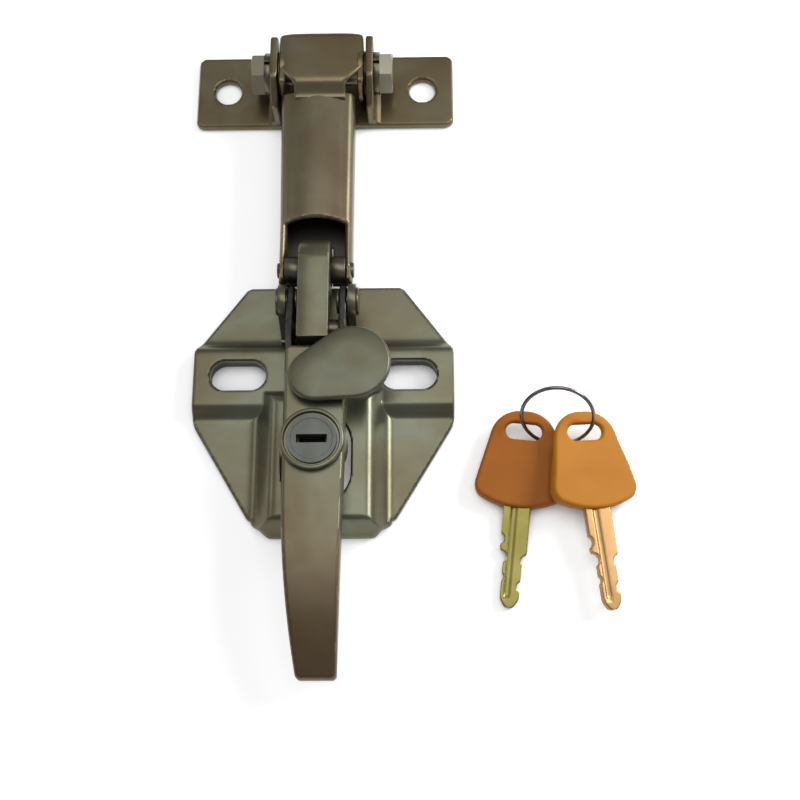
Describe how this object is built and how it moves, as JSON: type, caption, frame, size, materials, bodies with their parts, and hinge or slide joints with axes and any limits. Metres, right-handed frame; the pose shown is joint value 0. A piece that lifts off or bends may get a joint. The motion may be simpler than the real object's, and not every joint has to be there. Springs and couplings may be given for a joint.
{
  "type": "engine cover lock",
  "caption": "Over-centre draw latch with a key lock under a swing cover, a sheet pull arm, a bolted keeper and a set of keys with moulded heads on a ring.",
  "frame": {"origin": "on the mounting plane, straight under the handle's pivot axis, midway across the latch", "axes": "+X to the right, +Y toward the keeper, +Z out of the mounting plane"},
  "size_m": [0.1449, 0.2189, 0.0263],
  "materials": {
    "zinc_plate": "satin olive chromate over zinc plate",
    "pin_steel": "satin zinc plate",
    "bolt_zinc": "olive zinc plate",
    "lock_metal": "satin grey die casting",
    "dark_steel": "blackened spring steel",
    "wafer_brass": "stamped",
    "key_plastic": "moulded, slightly glossy",
    "key_brass": "nickel-brass, milled",
    "ring_steel": "polished wire"
  },
  "bodies": {
    "base": {"base_plate": "zinc_plate", "pivot_bracket": "zinc_plate", "pivot_rivet_left": "pin_steel", "pivot_rivet_right": "pin_steel"},
    "handle": {"handle": "zinc_plate", "hook_pin": "pin_steel", "lock_barrel": "lock_metal", "barrel_screw": "dark_steel"},
    "cover": {"dust_cover": "zinc_plate", "cover_stud": "pin_steel", "cover_washer": "dark_steel", "cover_clip": "dark_steel"},
    "plug": {"lock_plug": "lock_metal", "wafer_tumblers": "wafer_brass", "lock_cam": "zinc_plate", "cam_washer": "pin_steel", "cam_screw": "pin_steel"},
    "keeper": {"keeper_bracket": "zinc_plate", "keeper_bolt": "bolt_zinc", "keeper_nut": "bolt_zinc", "spring_washers": "pin_steel", "side_washers": "pin_steel"},
    "arm": {"pull_arm": "zinc_plate", "strap_pin": "pin_steel", "strap_spacers": "pin_steel"},
    "hook": {"hook_strap": "zinc_plate"},
    "keys": {"key_head_1": "key_plastic", "key_blade_1": "key_brass", "key_head_2": "key_plastic", "key_blade_2": "key_brass", "key_ring": "ring_steel"}
  },
  "joints": [
    {"name": "handle_swing", "type": "hinge", "parent": "base", "child": "handle", "pos_m": [-0.0015, 0, 0.015], "axis": [-1, 0, 0], "range_deg": [0, 75]},
    {"name": "cover_swing", "type": "hinge", "parent": "handle", "child": "cover", "pos_m": [-0.0021, -0.0305, 0.0238], "axis": [0, 0, 1], "range_deg": [-120, 0]},
    {"name": "plug_turn", "type": "hinge", "parent": "handle", "child": "plug", "pos_m": [-0.0018, -0.0485, 0.0233], "axis": [0, 0, 1], "range_deg": [0, 90]},
    {"name": "keeper_lift", "type": "slide", "parent": "base", "child": "keeper", "axis": [0, 0, 1], "range_m": [0, 0.06]},
    {"name": "arm_swing", "type": "hinge", "parent": "keeper", "child": "arm", "pos_m": [-0.0015, 0.0859, 0.013], "axis": [-1, 0, 0], "range_deg": [0, 75]},
    {"name": "strap_lift", "type": "hinge", "parent": "arm", "child": "hook", "pos_m": [-0.0024, 0.0115, 0.0138], "axis": [-1, 0, 0], "range_deg": [0, 120]},
    {"name": "keys_lift", "type": "slide", "parent": "base", "child": "keys", "axis": [0, 0, 1], "range_m": [0, 0.06]}
  ],
  "couplings": [
    {"joint": "strap_lift", "follows": "handle_swing", "ratio": 1.6}
  ]
}
